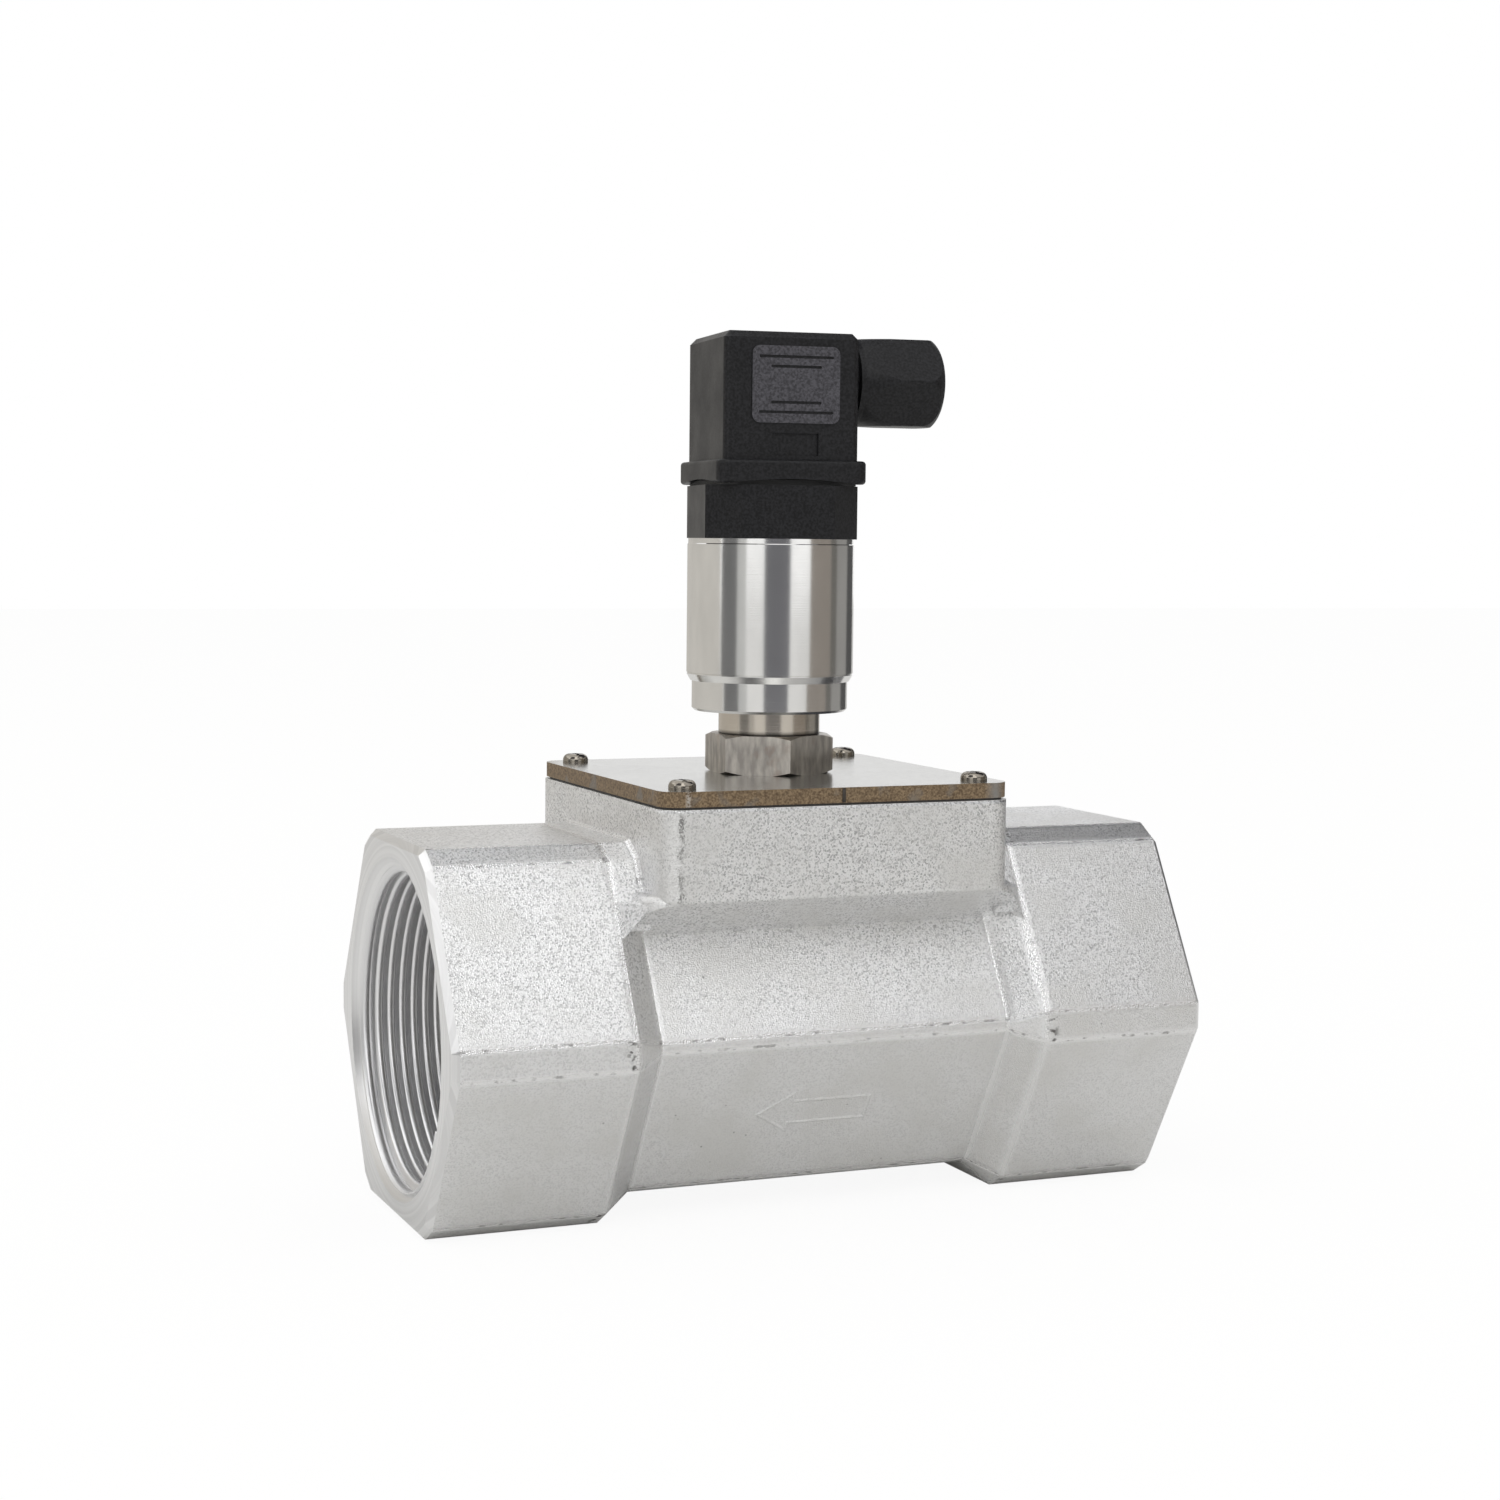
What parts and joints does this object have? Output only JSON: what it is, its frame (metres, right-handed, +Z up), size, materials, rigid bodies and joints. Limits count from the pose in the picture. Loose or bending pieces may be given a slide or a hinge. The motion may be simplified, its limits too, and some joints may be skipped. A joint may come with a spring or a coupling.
{
  "type": "flow sensor",
  "caption": "Paddle wheel flow sensor: cast aluminium pipe body with threaded ports, steel cover plate and stem transmitter, and a square connector plug with a side cable gland.",
  "frame": {"origin": "centre of the body at the height of its bottom flats, below the stem's axis", "axes": "+Z up along the stem, +X along the pipe from the outlet end (arrow tip) to the inlet end, -Y is the side with the flow arrow and the plug's panel"},
  "size_m": [0.148, 0.0776, 0.1633],
  "materials": {
    "cast_aluminium": "sand cast skin, slightly sparkling",
    "plate_steel": "satin sheet with browned cut edges",
    "turned_steel": "fine turned",
    "nut_steel": "dull, slightly stained",
    "screw_steel": "bright pan heads",
    "bracket_steel": "plain sheet",
    "black_plastic": "moulded, fine grain",
    "block_plastic": "moulded",
    "seal_rubber": "smooth rubber",
    "gasket_sheet": "pressed sheet",
    "brass": "plain",
    "tinned_contact": "tin plated",
    "wheel_plastic": "natural moulded plastic",
    "bush_plastic": "filled bearing plastic",
    "magnet": "nickel plated",
    "board_green": "solder mask",
    "lead_sheath": "insulated wire"
  },
  "bodies": {
    "housing": {"flow_body": "cast_aluminium", "body_gasket": "gasket_sheet", "cover_plate": "plate_steel", "cover_screws": "screw_steel", "lock_nut": "nut_steel", "probe_stem": "turned_steel", "stem_o_ring": "seal_rubber", "transmitter_sleeve": "turned_steel", "connector_base": "black_plastic", "base_o_ring": "seal_rubber", "screw_insert": "brass", "contact_pins": "tinned_contact", "rotor_bracket": "bracket_steel", "bracket_screws": "screw_steel", "rotor_axle": "bracket_steel", "axle_clips": "bracket_steel", "thrust_washers": "bush_plastic", "hall_sensor": "block_plastic", "sensor_leads": "lead_sheath", "sensor_board": "board_green", "board_components": "block_plastic", "output_leads": "lead_sheath"},
    "rotor": {"paddle_wheel": "wheel_plastic", "hub_bushes": "bush_plastic", "wheel_magnets": "magnet"},
    "plug": {"plug_gasket": "seal_rubber", "plug_housing": "black_plastic", "terminal_block": "block_plastic", "socket_contacts": "tinned_contact", "terminal_screws": "screw_steel", "plug_screw": "screw_steel", "plug_screw_seal": "seal_rubber", "gland_grommet": "seal_rubber"},
    "thrust_ring": {"gland_ring": "black_plastic"},
    "gland_nut": {"gland_nut": "black_plastic"}
  },
  "joints": [
    {"name": "rotor_spin", "type": "hinge", "parent": "housing", "child": "rotor", "pos_m": [0, 0, 0.049], "axis": [0, 1, 0], "continuous": true},
    {"name": "plug_pull", "type": "slide", "parent": "housing", "child": "plug", "axis": [0, 0, 1], "range_m": [0, 0.012]},
    {"name": "gland_travel", "type": "slide", "parent": "plug", "child": "thrust_ring", "axis": [0.9936, -0.1132, 0], "range_m": [0, 0.003]},
    {"name": "gland_turn", "type": "hinge", "parent": "thrust_ring", "child": "gland_nut", "pos_m": [0, 0, 0.155], "axis": [0.9936, -0.1132, 0], "range_deg": [0, 720]}
  ],
  "couplings": [
    {"joint": "gland_travel", "follows": "gland_turn", "m_per_rad": 0.00023873}
  ]
}
